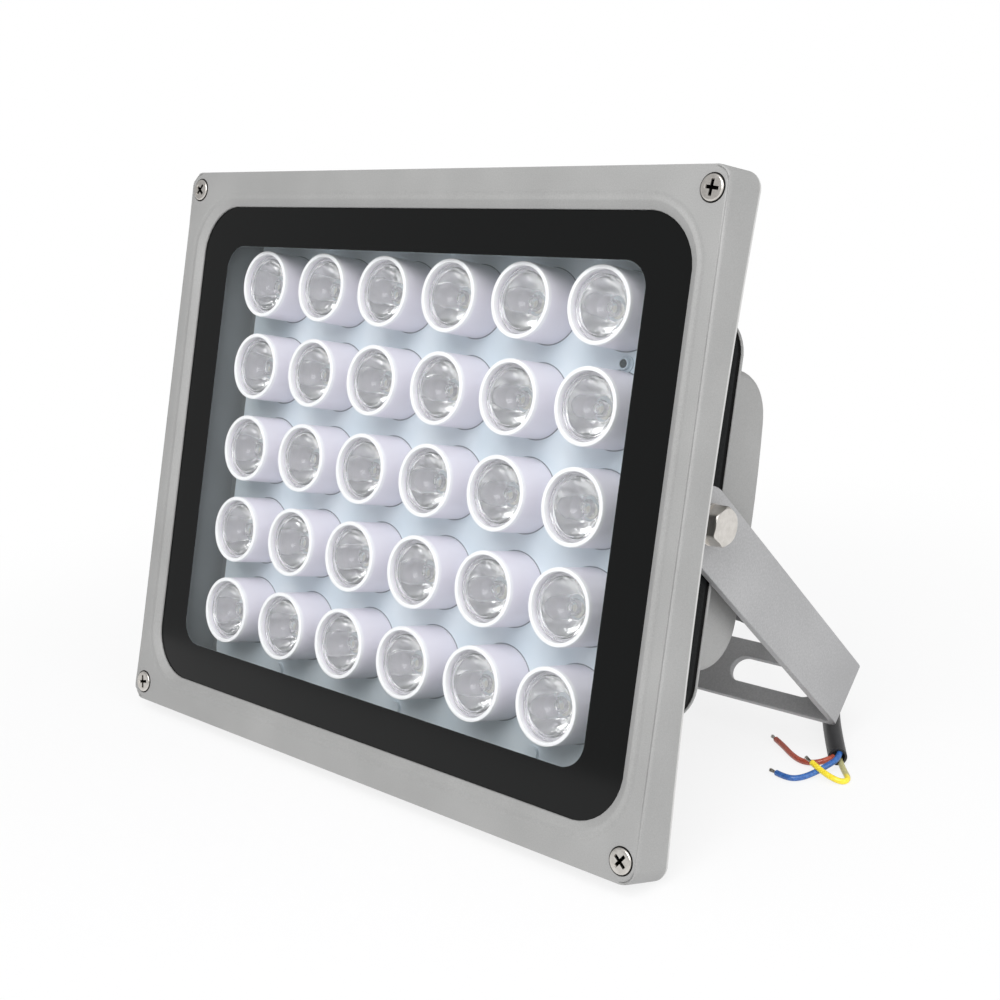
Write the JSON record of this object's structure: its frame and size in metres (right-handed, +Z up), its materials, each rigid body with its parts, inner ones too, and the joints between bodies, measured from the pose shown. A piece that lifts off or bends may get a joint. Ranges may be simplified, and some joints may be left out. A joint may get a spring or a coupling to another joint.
{
  "type": "led flood light",
  "caption": "Rectangular LED flood light with a lens array behind glass, tilting on a folded U bracket with a supply cable.",
  "frame": {"origin": "on the floor under the middle of the lamp's bounding box, without the cable and its cores", "axes": "+Z up, -Y the way the light shines, +X to the right as seen from the front"},
  "size_m": [0.2872, 0.2425, 0.2234],
  "materials": {
    "powder_coat": "fine grey powder coat on die-cast aluminium",
    "bracket_coat": "grey powder coat on steel strip",
    "screw_steel": "zinc-plated steel",
    "glass": "clear toughened glass with a black printed border",
    "black_rubber": "black silicone rubber",
    "board": "pale solder mask on an aluminium core",
    "emitter": "phosphor",
    "white_plastic": "white moulded plastic",
    "sensor": "dark moulded plastic",
    "driver_case": "black potted case",
    "gland_plastic": "black nylon",
    "cable_sheath": "black cable sheath",
    "core_blue": "blue insulation",
    "core_brown": "brown insulation",
    "core_yellow": "yellow insulation with green",
    "copper": "tinned copper strands",
    "lens_clear": "clear moulded acrylic"
  },
  "bodies": {
    "bracket": {"bracket": "bracket_coat", "cable": "cable_sheath", "wire_blue": "core_blue", "wire_brown": "core_brown", "wire_yellow": "core_yellow", "wire_ends": "copper"},
    "head": {"bezel_frame": "powder_coat", "bezel_screws": "screw_steel", "glass_pane": "glass", "glass_gasket": "black_rubber", "led_housing": "powder_coat", "led_board": "board", "board_screws": "screw_steel", "led_emitters": "emitter", "lens_holders": "white_plastic", "light_sensor": "sensor", "driver_gasket": "black_rubber", "driver_cover": "powder_coat", "cover_screws": "screw_steel", "led_driver": "driver_case", "driver_screws": "screw_steel", "gland_body": "gland_plastic", "gland_nut": "gland_plastic", "gland_seal": "black_rubber", "cable_entry": "cable_sheath", "pivot_bolt_left": "screw_steel", "pivot_bolt_right": "screw_steel", "spring_washer_left": "screw_steel", "spring_washer_right": "screw_steel", "lens_1_1": "lens_clear", "lens_1_2": "lens_clear", "lens_1_3": "lens_clear", "lens_1_4": "lens_clear", "lens_1_5": "lens_clear", "lens_1_6": "lens_clear", "lens_2_1": "lens_clear", "lens_2_2": "lens_clear", "lens_2_3": "lens_clear", "lens_2_4": "lens_clear", "lens_2_5": "lens_clear", "lens_2_6": "lens_clear", "lens_3_1": "lens_clear", "lens_3_2": "lens_clear", "lens_3_3": "lens_clear", "lens_3_4": "lens_clear", "lens_3_5": "lens_clear", "lens_3_6": "lens_clear", "lens_4_1": "lens_clear", "lens_4_2": "lens_clear", "lens_4_3": "lens_clear", "lens_4_4": "lens_clear", "lens_4_5": "lens_clear", "lens_4_6": "lens_clear", "lens_5_1": "lens_clear", "lens_5_2": "lens_clear", "lens_5_3": "lens_clear", "lens_5_4": "lens_clear", "lens_5_5": "lens_clear", "lens_5_6": "lens_clear"}
  },
  "joints": [
    {"name": "head_tilt", "type": "hinge", "parent": "bracket", "child": "head", "pos_m": [0, -0.02044, 0.10951], "axis": [1, 0, 0], "range_deg": [-105, 50]}
  ]
}
